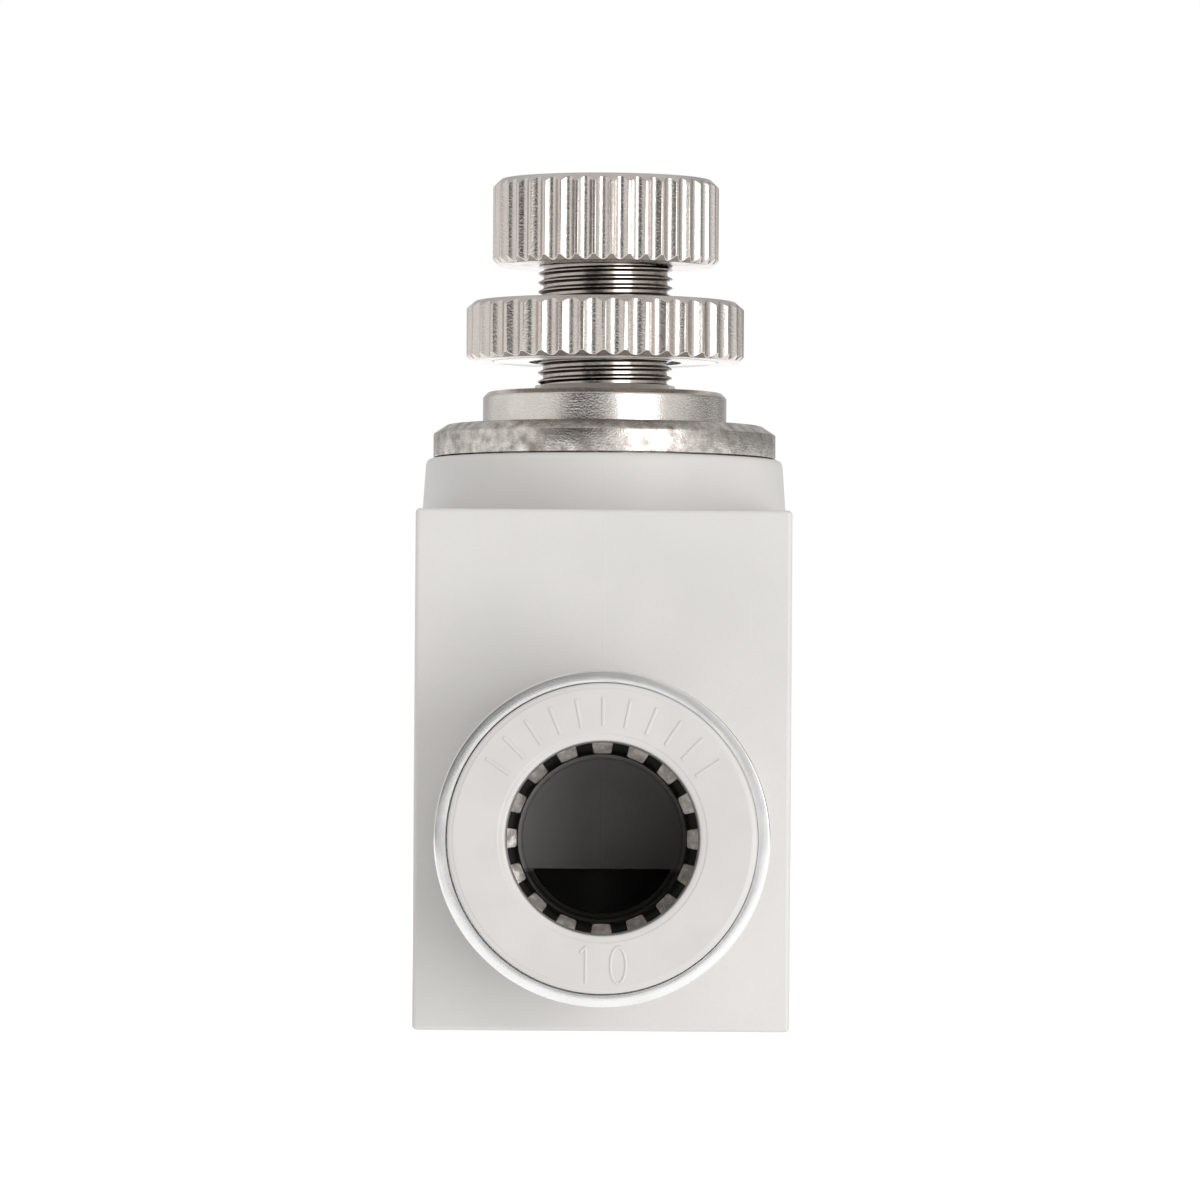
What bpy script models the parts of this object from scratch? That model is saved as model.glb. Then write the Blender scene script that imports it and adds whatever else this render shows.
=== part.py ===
"""An inline flow control valve with a push-in socket for a 10 mm tube at each end.

Frame: +Z runs up the needle's axis, the two tube sockets lie along Y, and the origin is the middle of the
body's flat underside. Every size is in millimetres, and MM turns it into Blender's metres. A profile is a
list of (radius, height) points, and a piece in a socket measures its height outwards from the needle's axis.
"""

import math

import bmesh
import bpy
from mathutils import Matrix, Vector

MM = 0.001
FIT = 0.05  # gap between two pieces that touch

# Body
BODY_WIDTH = 20.2
BODY_LENGTH = 32.0
BODY_HEIGHT = 27.95
BODY_EDGE = 0.3
PORT_Z = 10.3
BARREL_RADIUS = 8.75
BARREL_END = 23.0
BOSS_BASE_RADIUS = 10.09
BOSS_TOP_RADIUS = 9.86
BOSS_TOP = 31.3
BOSS_EDGE = 0.35

# Needle bore, from the bottom up
CHAMBER_FLOOR, CHAMBER_RADIUS = 3.0, 5.0
CHECK_BORE_FLOOR, CHECK_BORE_RADIUS = 8.75, 5.6
CARTRIDGE_BORE_FLOOR, CARTRIDGE_BORE_RADIUS = 10.9, 6.6
RETAINER_BORE_FLOOR, RETAINER_BORE_RADIUS = 28.4, 8.6

# Tube socket, from the needle's axis outwards
SOCKET_FLOOR, PASSAGE_RADIUS = 8.8, 4.3
TUBE_STOP, TUBE_PILOT_RADIUS = 10.5, 5.1
SEAL_FLOOR, SEAL_BORE_RADIUS = 11.8, 7.35
CASSETTE_FLOOR, CASSETTE_RADIUS = 15.0, 7.7

# Ducts from the sockets to the needle bore, and the two holes for fixing screws
DUCT_RADIUS = 4.1
DUCT_OFFSET = 1.65
SCREW_HOLE_RADIUS = 2.15
SCREW_HOLE_Y, SCREW_HOLE_Z = 12.2, 22.8

# Cartridge, needle and thread
THREAD_RADIUS = 3.72
THREAD_BORE_RADIUS = 3.8
GUIDE_BORE_RADIUS = 4.3
GUIDE_BORE_FLOOR, GUIDE_BORE_TOP = 18.5, 28.0
GLAND_RADIUS, GLAND_TOP, GLAND_LIP = 6.75, 34.98, 0.38
ORIFICE_RADIUS = 2.2
SEAT_TOP = 12.4
NEEDLE_LIFT = 3.0  # how far the needle can still rise
NEEDLE_DROP = 1.5  # how far it can still fall before it closes the seat
STEM_RADIUS = 2.9
PISTON_RADIUS = 4.2
SPIGOT_RADIUS = 2.95

# O-ring grooves in the cartridge and the needle's piston, as (low, high)
LOWER_GROOVE, UPPER_GROOVE = (20.4, 22.2), (24.8, 26.6)
STEM_GROOVE, STEM_GROOVE_RADIUS = (21.8, 23.6), 3.1
CARTRIDGE_FOOT, CARTRIDGE_FOOT_BORE = 16.4, 5.3
CAGE_GROOVE, CAGE_SHOULDER = (9.2, 10.8), 11.5
CAGE_RIM_RADIUS, CAGE_GROOVE_RADIUS = 4.7, 3.9
WINDOW_WIDTH, WINDOW_LOW, WINDOW_HIGH = 5.2, 12.8, 15.2

# Flange, lock nut, washer and knob. An edge is the (width, height) of a chamfer.
FLANGE_RADIUS, FLANGE_TOP, FLANGE_EDGE = 9.48, 33.14, (0.75, 0.5)
NUT_RADIUS, NUT_BOTTOM, NUT_TOP = 7.69, 36.69, 40.02
NUT_LOW_EDGE, NUT_HIGH_EDGE, NUT_SINK = (0.3, 0.28), (0.48, 0.4), 0.55
WASHER_RADIUS, WASHER_BORE_RADIUS = 6.2, 4.5
WASHER_BOTTOM, WASHER_TOP = 36.67, 36.82
KNOB_RADIUS, KNOB_BOTTOM, KNOB_TOP = 6.27, 42.0, 46.8
KNOB_LOW_EDGE, KNOB_HIGH_EDGE = (0.3, 0.33), (0.45, 0.44)
KNOB_RECESS_RADIUS, KNOB_RECESS_DEPTH = 3.9, 0.7
FLUTES = 40
FLUTE_DEPTH = 0.22
KNOB_FLUTE_TURN = -91.6  # where one flute's bottom lies, in degrees from +X
NUT_FLUTE_TURN = -86.1

# Push-in cassette
COLLAR_RADIUS, COLLAR_END = 8.8, 27.0
COLLAR_CUP_RADIUS, COLLAR_CUP_FLOOR = 8.2, 24.4
COLLAR_HUB_END = 20.5
COLLAR_BORE_RADIUS = 6.45
COLLAR_EDGE = 0.15
RELEASE_RADIUS, RELEASE_END = 8.1, 28.6
RELEASE_BORE_RADIUS = 5.08
RELEASE_HEAD = 2.7
GRAB_TEETH = 16
GRAB_PLANE, GRAB_THICKNESS = 17.3, 0.35
GRAB_TIP_RADIUS, GRAB_ROOT_RADIUS, GRAB_RIM_RADIUS = 4.55, 6.3, 7.5
GRAB_LEAN = 30  # how far the teeth are bent inwards out of the sheet, in degrees
SEAL_LIP_RADIUS = 4.5

OUTER_STEPS = 32
INNER_STEPS = 24


def clear_scene():
    for thing in list(bpy.data.objects):
        bpy.data.objects.remove(thing)


def material(name, colour, roughness, metallic):
    made = bpy.data.materials.new(name)
    made.use_nodes = True
    shader = made.node_tree.nodes["Principled BSDF"]
    shader.inputs["Base Color"].default_value = (*colour, 1.0)
    shader.inputs["Roughness"].default_value = roughness
    shader.inputs["Metallic"].default_value = metallic
    return made


def empty(name, location=(0, 0, 0), rotation=(0, 0, 0)):
    made = bpy.data.objects.new(name, None)
    made.location = Vector(location) * MM
    made.rotation_euler = rotation
    bpy.context.scene.collection.objects.link(made)
    return made


def add_object(name, shape, finish=None, parent=None, helper=False):
    """Turns a bmesh in millimetres into an object. A helper is only there for a Boolean to use."""
    bmesh.ops.recalc_face_normals(shape, faces=shape.faces)
    bmesh.ops.scale(shape, vec=(MM, MM, MM), verts=shape.verts)
    mesh = bpy.data.meshes.new(name)
    shape.to_mesh(mesh)
    shape.free()
    mesh.shade_smooth()
    mesh.set_sharp_from_angle(angle=math.radians(30))
    if finish:
        mesh.materials.append(finish)
    made = bpy.data.objects.new(name, mesh)
    made.parent = parent
    made.hide_render = helper
    made.display_type = "WIRE" if helper else "TEXTURED"
    bpy.context.scene.collection.objects.link(made)
    return made


def turned_shape(profile, steps):
    """The solid swept by a profile about Z. A profile that starts on the axis ends on it too."""
    shape = bmesh.new()
    corners = [shape.verts.new((radius, 0, height)) for radius, height in profile]
    on_axis = profile[0][0] == 0
    pairs = zip(corners, corners[1:] + ([] if on_axis else corners[:1]))
    edges = [shape.edges.new(pair) for pair in pairs]
    bmesh.ops.spin(
        shape, geom=corners + edges, axis=(0, 0, 1), cent=(0, 0, 0),
        angle=2 * math.pi, steps=steps, use_merge=True,
    )
    bmesh.ops.remove_doubles(shape, verts=shape.verts, dist=1e-4)
    return shape


def turned(name, profile, finish, parent=None, steps=OUTER_STEPS, helper=False):
    return add_object(name, turned_shape(profile, steps), finish, parent, helper)


def boolean(target, other, operation):
    change = target.modifiers.new(f"{operation.lower()} {other.name}", "BOOLEAN")
    change.operation = operation
    change.object = other
    change.solver = "EXACT"


def box_shape(low, high):
    shape = bmesh.new()
    low, high = Vector(low), Vector(high)
    place = Matrix.Translation((low + high) / 2) @ Matrix.Diagonal((*(high - low), 1))
    bmesh.ops.create_cube(shape, size=1, matrix=place)
    return shape


def extruded_shape(outline, start, end):
    """A prism along Y, from an outline of (x, z) points."""
    shape = bmesh.new()
    face = shape.faces.new([shape.verts.new((x, start, z)) for x, z in outline])
    swept = bmesh.ops.extrude_face_region(shape, geom=[face])["geom"]
    far = [item for item in swept if isinstance(item, bmesh.types.BMVert)]
    bmesh.ops.translate(shape, vec=(0, end - start, 0), verts=far)
    return shape


def ring(radius, middle, height, sides=6):
    """The round profile of an O-ring."""
    turns = [2 * math.pi * side / sides for side in range(sides)]
    return [(middle + radius * math.cos(t), height + radius * math.sin(t)) for t in turns]


# ---------------------------------------------------------------- body


def body_block():
    half_width, half_length = BODY_WIDTH / 2, BODY_LENGTH / 2
    shape = box_shape((-half_width, -half_length, 0), (half_width, half_length, BODY_HEIGHT))
    bmesh.ops.bevel(
        shape, geom=list(shape.edges), offset=BODY_EDGE, segments=1, affect="EDGES", profile=0.5
    )
    return shape


def duct_outline(up):
    """The part of the duct's circle that lies beyond a flat, above the port's axis or below it."""
    side = 1 if up else -1
    reach = math.acos(DUCT_OFFSET / DUCT_RADIUS)
    steps = 10
    turns = [reach * (2 * step / steps - 1) for step in range(steps + 1)]
    return [
        (DUCT_RADIUS * math.sin(t), PORT_Z + side * DUCT_RADIUS * math.cos(t)) for t in turns
    ]


def add_valve_body(plastic, front, rear):
    body = add_object("valve_body", body_block(), plastic)
    boss = [
        (0, BODY_HEIGHT - 6),
        (BOSS_BASE_RADIUS, BODY_HEIGHT - 6),
        (BOSS_BASE_RADIUS, BODY_HEIGHT),
        (BOSS_TOP_RADIUS, BOSS_TOP - BOSS_EDGE),
        (BOSS_TOP_RADIUS - BOSS_EDGE, BOSS_TOP),
        (0, BOSS_TOP),
    ]
    boolean(body, turned("boss", boss, None, helper=True), "UNION")
    barrel_start = BODY_LENGTH / 2 - 3
    barrel = [(0, barrel_start), (BARREL_RADIUS, barrel_start), (BARREL_RADIUS, BARREL_END),
              (0, BARREL_END)]
    socket = [
        (0, SOCKET_FLOOR), (PASSAGE_RADIUS, SOCKET_FLOOR),
        (PASSAGE_RADIUS, TUBE_STOP), (TUBE_PILOT_RADIUS, TUBE_STOP),
        (TUBE_PILOT_RADIUS, SEAL_FLOOR), (SEAL_BORE_RADIUS, SEAL_FLOOR),
        (SEAL_BORE_RADIUS, CASSETTE_FLOOR), (CASSETTE_RADIUS, CASSETTE_FLOOR),
        (CASSETTE_RADIUS, BARREL_END + 1), (0, BARREL_END + 1),
    ]
    for side, port in (("front", front), ("rear", rear)):
        boolean(body, turned(f"{side}_barrel", barrel, None, port, helper=True), "UNION")
    for side, port in (("front", front), ("rear", rear)):
        cutter = turned(f"{side}_socket", socket, None, port, helper=True)
        boolean(body, cutter, "DIFFERENCE")
    needle_bore = [
        (0, CHAMBER_FLOOR), (CHAMBER_RADIUS, CHAMBER_FLOOR),
        (CHAMBER_RADIUS, CHECK_BORE_FLOOR), (CHECK_BORE_RADIUS, CHECK_BORE_FLOOR),
        (CHECK_BORE_RADIUS, CARTRIDGE_BORE_FLOOR), (CARTRIDGE_BORE_RADIUS, CARTRIDGE_BORE_FLOOR),
        (CARTRIDGE_BORE_RADIUS, RETAINER_BORE_FLOOR), (RETAINER_BORE_RADIUS, RETAINER_BORE_FLOOR),
        (RETAINER_BORE_RADIUS, BOSS_TOP + 1), (0, BOSS_TOP + 1),
    ]
    boolean(body, turned("needle_bore", needle_bore, None, helper=True), "DIFFERENCE")
    inside, outside = 3.0, SOCKET_FLOOR + 0.7
    front_duct = extruded_shape(duct_outline(up=False), -outside, -inside)
    rear_duct = extruded_shape(duct_outline(up=True), inside + 2, outside)
    boolean(body, add_object("front_duct", front_duct, helper=True), "DIFFERENCE")
    boolean(body, add_object("rear_duct", rear_duct, helper=True), "DIFFERENCE")
    for side, y in (("front", -SCREW_HOLE_Y), ("rear", SCREW_HOLE_Y)):
        hole = bmesh.new()
        place = Matrix.Translation((0, y, SCREW_HOLE_Z)) @ Matrix.Rotation(math.pi / 2, 4, "Y")
        bmesh.ops.create_cone(
            hole, cap_ends=True, segments=24, radius1=SCREW_HOLE_RADIUS,
            radius2=SCREW_HOLE_RADIUS, depth=BODY_WIDTH + 2, matrix=place,
        )
        boolean(body, add_object(f"{side}_screw_hole", hole, helper=True), "DIFFERENCE")


# ---------------------------------------------------------------- cartridge and seat


def add_retaining_flange(metal):
    """The ring on top of the boss. Its skirt goes down into the body and holds the cartridge's shoulder."""
    bore, skirt_bore = GLAND_RADIUS + 2 * FIT, RETAINER_BORE_RADIUS - 0.65
    skirt, seat = RETAINER_BORE_RADIUS - FIT, BOSS_TOP + FIT
    edge_width, edge_height = FLANGE_EDGE
    profile = [
        (bore, FLANGE_TOP), (FLANGE_RADIUS - edge_width, FLANGE_TOP),
        (FLANGE_RADIUS, FLANGE_TOP - edge_height),
        (FLANGE_RADIUS, seat), (skirt, seat), (skirt, RETAINER_BORE_FLOOR + 0.5),
        (skirt_bore, RETAINER_BORE_FLOOR + 0.5), (skirt_bore, seat), (bore, seat),
    ]
    turned("retaining_flange", profile, metal)


def add_cartridge(brass):
    """The turned piece that guides the needle. Its gland stands up through the flange."""
    outer = CARTRIDGE_BORE_RADIUS - 2 * FIT
    groove = outer - 1.0
    shoulder, shoulder_bottom = RETAINER_BORE_RADIUS - 0.75, RETAINER_BORE_FLOOR + FIT
    edge = 0.3
    profile = [
        (THREAD_BORE_RADIUS, GLAND_TOP + GLAND_LIP), (THREAD_BORE_RADIUS + 0.15, GLAND_TOP + GLAND_LIP),
        (THREAD_BORE_RADIUS + 0.4, GLAND_TOP), (GLAND_RADIUS - edge, GLAND_TOP),
        (GLAND_RADIUS, GLAND_TOP - edge), (GLAND_RADIUS, BOSS_TOP - 0.1),
        (shoulder, BOSS_TOP - 0.1), (shoulder, shoulder_bottom), (outer, shoulder_bottom),
    ]
    for low, high in (UPPER_GROOVE, LOWER_GROOVE):
        profile += [(outer, high), (groove, high), (groove, low), (outer, low)]
    profile += [
        (outer, CARTRIDGE_FOOT), (CARTRIDGE_FOOT_BORE, CARTRIDGE_FOOT),
        (CARTRIDGE_FOOT_BORE, GUIDE_BORE_FLOOR), (GUIDE_BORE_RADIUS, GUIDE_BORE_FLOOR),
        (GUIDE_BORE_RADIUS, GUIDE_BORE_TOP), (THREAD_BORE_RADIUS, GUIDE_BORE_TOP),
    ]
    turned("cartridge", profile, brass)


def add_seat_cage(plastic):
    """The seat with its orifice, hung from the cartridge on four legs, with a groove for the check seal."""
    leg_inner, leg_outer, top = 4.35, CARTRIDGE_FOOT_BORE - FIT, GUIDE_BORE_FLOOR - FIT
    bottom = CHECK_BORE_FLOOR + 0.15
    profile = [
        (leg_inner, top), (leg_inner, SEAT_TOP), (ORIFICE_RADIUS, SEAT_TOP),
        (ORIFICE_RADIUS, bottom), (CAGE_RIM_RADIUS, bottom), (CAGE_RIM_RADIUS, CAGE_GROOVE[0]),
        (CAGE_GROOVE_RADIUS, CAGE_GROOVE[0]), (CAGE_GROOVE_RADIUS, CAGE_GROOVE[1]),
        (CAGE_RIM_RADIUS, CAGE_GROOVE[1]), (CAGE_RIM_RADIUS, CAGE_SHOULDER),
        (leg_outer, CAGE_SHOULDER), (leg_outer, top),
    ]
    cage = turned("seat_cage", profile, plastic, steps=INNER_STEPS)
    reach, half_width = leg_outer + 1, WINDOW_WIDTH / 2
    for name, half_x, half_y in (("window_x", reach, half_width), ("window_y", half_width, reach)):
        window = box_shape((-half_x, -half_y, WINDOW_LOW), (half_x, half_y, WINDOW_HIGH))
        boolean(cage, add_object(name, window, helper=True), "DIFFERENCE")


def add_check_seal(rubber):
    """A lip seal that lets air past the seat one way only."""
    inner, lip = CAGE_GROOVE_RADIUS + FIT, CHECK_BORE_RADIUS - FIT
    low, high = CAGE_GROOVE[0] + 0.1, CAGE_GROOVE[1] - 0.1
    profile = [
        (inner, low), (4.9, low), (lip, low + 1.0), (lip - 0.3, high), (4.7, low + 0.6), (4.5, high),
        (inner, high),
    ]
    turned("check_seal", profile, rubber, steps=INNER_STEPS)


def add_cartridge_seals(rubber):
    for name, groove in (("cartridge_seal_upper", UPPER_GROOVE), ("cartridge_seal_lower", LOWER_GROOVE)):
        turned(name, ring(0.48, 6.05, sum(groove) / 2), rubber, steps=INNER_STEPS)


# ---------------------------------------------------------------- needle, knob and lock nut


def add_needle(brass, axis):
    """One turned piece: needle point, stem, sealed piston, thread and the spigot that holds the knob."""
    piston_top = GUIDE_BORE_TOP - NEEDLE_LIFT - FIT
    piston_bottom = GUIDE_BORE_FLOOR + NEEDLE_DROP + FIT
    shoulder = SEAT_TOP + NEEDLE_DROP + FIT
    groove_low, groove_high = STEM_GROOVE
    spigot_end = KNOB_TOP - 0.65
    profile = [
        (0, spigot_end + 0.35), (3.1, spigot_end + 0.35), (3.4, spigot_end + 0.15),
        (3.4, spigot_end), (SPIGOT_RADIUS, spigot_end), (SPIGOT_RADIUS, KNOB_BOTTOM - FIT),
        (THREAD_RADIUS, KNOB_BOTTOM - FIT), (THREAD_RADIUS, piston_top + 1.3),
        (3.3, piston_top + 1.0), (3.3, piston_top), (PISTON_RADIUS, piston_top),
        (PISTON_RADIUS, groove_high), (STEM_GROOVE_RADIUS, groove_high),
        (STEM_GROOVE_RADIUS, groove_low),
        (PISTON_RADIUS, groove_low), (PISTON_RADIUS, piston_bottom), (STEM_RADIUS, piston_bottom),
        (STEM_RADIUS, shoulder + 0.2), (ORIFICE_RADIUS - 0.1, shoulder),
        (1.1, shoulder - 4.2), (0, shoulder - 4.5),
    ]
    turned("needle_stem", profile, brass, axis, steps=INNER_STEPS)


def add_stem_seal(rubber, axis):
    turned("stem_seal", ring(0.54, 3.7, sum(STEM_GROOVE) / 2), rubber, axis, steps=INNER_STEPS)


def fluted_shape(levels, bore, radius, turn):
    """A fluted wheel. Levels are (largest radius, height) from the bottom up the outside, and bore is the
    rest of the profile, back down the inside."""
    flute = [(0.0, radius - FLUTE_DEPTH), (0.38, radius), (0.62, radius)]
    points = [
        (math.radians(turn + 360 / FLUTES * (count + share)), limit)
        for count in range(FLUTES)
        for share, limit in flute
    ]
    shape = bmesh.new()
    loops = []
    for largest, height in levels + bore:
        fluted = (largest, height) in levels
        loops.append([
            shape.verts.new((r * math.cos(t), r * math.sin(t), height))
            for t, limit in points
            for r in [min(largest, limit) if fluted else largest]
        ])
    for lower, upper in zip(loops, loops[1:] + loops[:1]):
        for a, b, c, d in zip(lower, lower[1:] + lower[:1], upper[1:] + upper[:1], upper):
            shape.faces.new((a, b, c, d))
    return shape


def wheel_levels(radius, bottom, top, low_edge, high_edge):
    """The outside of a fluted wheel with a (width, height) chamfer at each end. The extra level in each
    chamfer is where it meets the bottoms of the flutes."""
    levels = [(radius - low_edge[0], bottom), (radius, bottom + low_edge[1])]
    levels += [(radius, top - high_edge[1]), (radius - high_edge[0], top)]
    root = radius - FLUTE_DEPTH
    low_root = bottom + low_edge[1] * (1 - FLUTE_DEPTH / low_edge[0])
    high_root = top - high_edge[1] * (1 - FLUTE_DEPTH / high_edge[0])
    return [levels[0], (root, low_root), levels[1], levels[2], (root, high_root), levels[3]]


def add_knob(metal, axis):
    levels = wheel_levels(KNOB_RADIUS, KNOB_BOTTOM, KNOB_TOP, KNOB_LOW_EDGE, KNOB_HIGH_EDGE)
    bore, recess_floor = SPIGOT_RADIUS + FIT, KNOB_TOP - KNOB_RECESS_DEPTH
    inside = [(KNOB_RECESS_RADIUS, KNOB_TOP), (KNOB_RECESS_RADIUS, recess_floor),
              (bore, recess_floor), (bore, KNOB_BOTTOM)]
    shape = fluted_shape(levels, inside, KNOB_RADIUS, KNOB_FLUTE_TURN)
    add_object("knob", shape, metal, axis)


def add_lock_nut(metal, axis):
    """The nut, with a shallow recess in its underside that holds the washer."""
    levels = wheel_levels(NUT_RADIUS, NUT_BOTTOM, NUT_TOP, NUT_LOW_EDGE, NUT_HIGH_EDGE)
    bore, sink, seat = THREAD_BORE_RADIUS, NUT_SINK, WASHER_TOP + FIT
    inside = [(bore + sink, NUT_TOP), (bore, NUT_TOP - sink), (bore, seat + sink),
              (bore + sink, seat), (WASHER_RADIUS + FIT, seat), (WASHER_RADIUS + FIT, NUT_BOTTOM)]
    shape = fluted_shape(levels, inside, NUT_RADIUS, NUT_FLUTE_TURN)
    add_object("lock_nut", shape, metal, axis)


def add_nut_washer(plastic, axis):
    profile = [(WASHER_BORE_RADIUS, WASHER_BOTTOM), (WASHER_RADIUS, WASHER_BOTTOM),
               (WASHER_RADIUS, WASHER_TOP), (WASHER_BORE_RADIUS, WASHER_TOP)]
    turned("nut_washer", profile, plastic, axis)


# ---------------------------------------------------------------- push-in cassettes


def collar_profile():
    """A cup for the release ring's head, a hub in the barrel, and a skirt that clamps the grab ring."""
    hub, skirt_bore, skirt_end = CASSETTE_RADIUS - FIT, 7.0, GRAB_PLANE + 0.3
    return [
        (COLLAR_CUP_RADIUS, COLLAR_END), (COLLAR_RADIUS - COLLAR_EDGE, COLLAR_END),
        (COLLAR_RADIUS, COLLAR_END - COLLAR_EDGE), (COLLAR_RADIUS, BARREL_END + FIT),
        (hub, BARREL_END + FIT), (hub, skirt_end), (skirt_bore, skirt_end),
        (skirt_bore, COLLAR_HUB_END), (COLLAR_BORE_RADIUS, COLLAR_HUB_END),
        (COLLAR_BORE_RADIUS, COLLAR_CUP_FLOOR), (COLLAR_CUP_RADIUS, COLLAR_CUP_FLOOR),
    ]


def release_profile():
    """A wide head to press, and a neck whose bead catches behind the collar's hub."""
    head_back = RELEASE_END - RELEASE_HEAD
    neck, bead, nose = COLLAR_BORE_RADIUS - 0.3, 6.8, 19.2
    return [
        (RELEASE_BORE_RADIUS, RELEASE_END - 0.3), (RELEASE_BORE_RADIUS + 0.3, RELEASE_END),
        (RELEASE_RADIUS - 0.25, RELEASE_END), (RELEASE_RADIUS, RELEASE_END - 0.25),
        (RELEASE_RADIUS, head_back), (neck, head_back), (neck, COLLAR_HUB_END - FIT),
        (bead, COLLAR_HUB_END - FIT), (bead, nose + 0.6), (neck, nose),
        (RELEASE_BORE_RADIUS, nose),
    ]


def support_profile():
    """The ring under the grab ring, with a cone that backs the teeth."""
    low, high, outer = CASSETTE_FLOOR + FIT, GRAB_PLANE - 0.3, CASSETTE_RADIUS - FIT
    return [(5.3, low), (outer, low), (outer, high), (6.5, high), (5.3, 15.6)]


def seal_profile():
    outer, low, high = SEAL_BORE_RADIUS - FIT, SEAL_FLOOR + 0.1, CASSETTE_FLOOR - 0.1
    middle = (low + high) / 2
    return [
        (outer, low), (outer, high), (5.9, high), (SEAL_LIP_RADIUS + 0.15, middle + 0.9),
        (SEAL_LIP_RADIUS, middle + 0.3), (SEAL_LIP_RADIUS + 0.15, middle - 0.5), (5.9, low),
    ]


def grab_shape():
    """A flat sheet: a rim, and teeth that bend inwards and down. Solidify gives it its thickness."""
    shape = bmesh.new()
    root_half, tip_half = math.radians(6.2), math.radians(5.4)
    tip_drop = (GRAB_ROOT_RADIUS - GRAB_TIP_RADIUS) * math.tan(math.radians(GRAB_LEAN))

    def corner(radius, turn, drop=0.0):
        return shape.verts.new(
            (radius * math.cos(turn), radius * math.sin(turn), GRAB_PLANE - drop)
        )

    spots = []
    for tooth in range(GRAB_TEETH):
        middle = 2 * math.pi * tooth / GRAB_TEETH
        for half in (-root_half, root_half):
            turn = middle + half
            spots.append((corner(GRAB_ROOT_RADIUS, turn), corner(GRAB_RIM_RADIUS, turn)))
        tips = [corner(GRAB_TIP_RADIUS, middle + half, tip_drop) for half in (-tip_half, tip_half)]
        shape.faces.new((spots[-2][0], spots[-1][0], tips[1], tips[0]))
    for first, second in zip(spots, spots[1:] + spots[:1]):
        shape.faces.new((first[0], first[1], second[1], second[0]))
    return shape


def add_grab_ring(name, steel, port):
    grab = add_object(name, grab_shape(), steel, port)
    sheet = grab.modifiers.new("thickness", "SOLIDIFY")
    sheet.thickness = GRAB_THICKNESS * MM
    sheet.offset = 0


def add_cassette(side, port, finishes):
    turned(f"collar_{side}", collar_profile(), finishes["chrome"], port)
    turned(f"release_ring_{side}", release_profile(), finishes["white_plastic"], port)
    add_grab_ring(f"grab_ring_{side}", finishes["steel"], port)
    turned(f"support_ring_{side}", support_profile(), finishes["seat_plastic"], port, INNER_STEPS)
    turned(f"tube_seal_{side}", seal_profile(), finishes["rubber"], port, INNER_STEPS)


def main():
    clear_scene()
    finishes = {
        "grey_plastic": material("grey_plastic", (0.66, 0.65, 0.63), 0.45, 0.0),
        "white_plastic": material("white_plastic", (0.68, 0.66, 0.64), 0.35, 0.0),
        "seat_plastic": material("seat_plastic", (0.06, 0.06, 0.06), 0.5, 0.0),
        "nickel": material("nickel", (0.62, 0.59, 0.56), 0.3, 1.0),
        "chrome": material("chrome", (0.78, 0.78, 0.79), 0.08, 1.0),
        "steel": material("steel", (0.58, 0.56, 0.54), 0.35, 1.0),
        "rubber": material("rubber", (0.015, 0.015, 0.015), 0.6, 0.0),
        "nylon": material("nylon", (0.82, 0.81, 0.78), 0.5, 0.0),
    }
    front = empty("front_port", (0, 0, PORT_Z), (math.pi / 2, 0, 0))
    rear = empty("rear_port", (0, 0, PORT_Z), (-math.pi / 2, 0, 0))
    needle_axis = empty("needle_axis")
    add_valve_body(finishes["grey_plastic"], front, rear)
    add_retaining_flange(finishes["nickel"])
    add_cartridge(finishes["nickel"])
    add_seat_cage(finishes["seat_plastic"])
    add_check_seal(finishes["rubber"])
    add_cartridge_seals(finishes["rubber"])
    add_needle(finishes["nickel"], needle_axis)
    add_stem_seal(finishes["rubber"], needle_axis)
    add_knob(finishes["nickel"], needle_axis)
    add_lock_nut(finishes["nickel"], needle_axis)
    add_nut_washer(finishes["nylon"], needle_axis)
    add_cassette("front", front, finishes)
    add_cassette("rear", rear, finishes)


main()
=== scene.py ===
"""The looks of an inline flow control valve with a push-in socket for a 10 mm tube at each end.

Sizes are in millimetres, in the CAD model's frame: +Z runs up the needle's axis, and -Y points out of the
front socket. A turned piece is a closed profile of (radius, height, rounding) corners, and a sharp corner has
no rounding. A piece in a socket is made with its own +Z pointing outwards, and its heights count from the
needle's axis.
"""

import math

import bmesh
import bpy
from mathutils import Matrix, Vector


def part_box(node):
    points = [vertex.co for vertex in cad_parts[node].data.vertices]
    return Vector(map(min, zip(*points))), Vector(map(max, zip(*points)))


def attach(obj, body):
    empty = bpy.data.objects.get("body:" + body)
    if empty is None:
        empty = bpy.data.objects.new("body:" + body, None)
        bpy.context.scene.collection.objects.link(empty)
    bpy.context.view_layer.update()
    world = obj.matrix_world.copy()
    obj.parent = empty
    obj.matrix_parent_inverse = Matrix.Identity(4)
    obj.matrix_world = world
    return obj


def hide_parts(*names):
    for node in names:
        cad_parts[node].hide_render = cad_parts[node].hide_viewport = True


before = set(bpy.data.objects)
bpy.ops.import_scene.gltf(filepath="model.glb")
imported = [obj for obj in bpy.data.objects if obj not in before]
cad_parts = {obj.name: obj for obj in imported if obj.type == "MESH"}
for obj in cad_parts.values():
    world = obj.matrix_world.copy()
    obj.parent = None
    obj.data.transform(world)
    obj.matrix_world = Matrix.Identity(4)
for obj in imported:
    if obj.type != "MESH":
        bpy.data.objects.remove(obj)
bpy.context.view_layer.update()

MM = 0.001
FIT = 0.05  # gap between two pieces that touch
SIDES = ("front", "rear")
SEGMENTS = 160
HOLE_SEGMENTS = 64
CORNER_STEPS, CORNER_SHARE = 4, 0.45  # a rounding takes no more than this share of a side
SHARP_ANGLE, WORN_ANGLE = math.radians(32), math.radians(28)
MERGE_DISTANCE = 1e-7  # in metres


def box(node):
    """A CAD node's lowest and highest corners, in millimetres."""
    low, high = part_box(node)
    return low / MM, high / MM


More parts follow.
